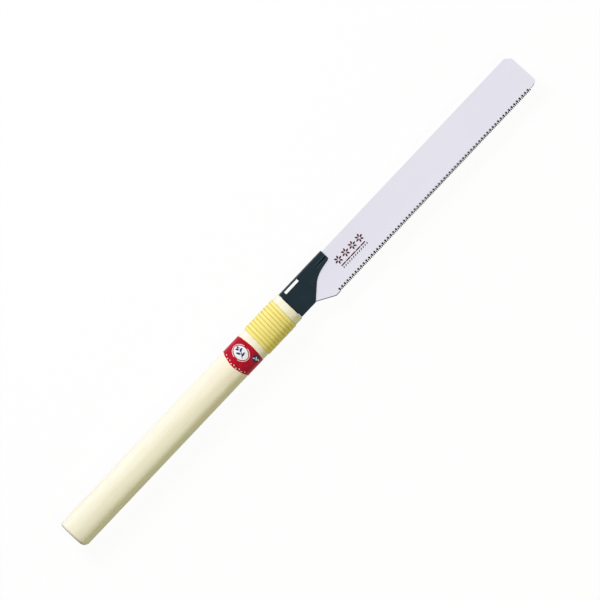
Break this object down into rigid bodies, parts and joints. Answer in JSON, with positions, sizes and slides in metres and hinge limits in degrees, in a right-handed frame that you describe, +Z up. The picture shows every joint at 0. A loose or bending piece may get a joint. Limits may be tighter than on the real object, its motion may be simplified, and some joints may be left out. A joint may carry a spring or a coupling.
{
  "type": "bamboo saw",
  "caption": "Straight pull saw for bamboo: thin fine-toothed blade hooked into a folded sheet holder, on a long oval wooden handle with a cane binding and a paper label.",
  "frame": {"origin": "bottom centre of the saw's box as it lies on its side, blade level", "axes": "+X along the saw from the butt of the handle to the tip of the blade, +Y to the spine (the teeth face -Y), +Z up, square to the blade"},
  "size_m": [0.5616, 0.0386, 0.0236],
  "materials": {
    "blade_steel": "satin",
    "black_coating": "satin",
    "pale_wood": "satin",
    "yellow_cane": "satin",
    "red_paper": "satin",
    "pin_steel": "satin"
  },
  "bodies": {
    "handle_body": {"handle": "pale_wood", "blade_holder": "black_coating", "hook_rivet": "black_coating", "cane_binding": "yellow_cane", "paper_label": "red_paper", "tang_pin_front": "pin_steel", "tang_pin_rear": "pin_steel"},
    "blade_body": {"blade": "blade_steel"}
  },
  "joints": [
    {"name": "blade_release", "type": "hinge", "parent": "handle_body", "child": "blade_body", "pos_m": [0.00121, 0.00915, 0.0118], "axis": [0, 0, -1], "range_deg": [0, 35]}
  ]
}
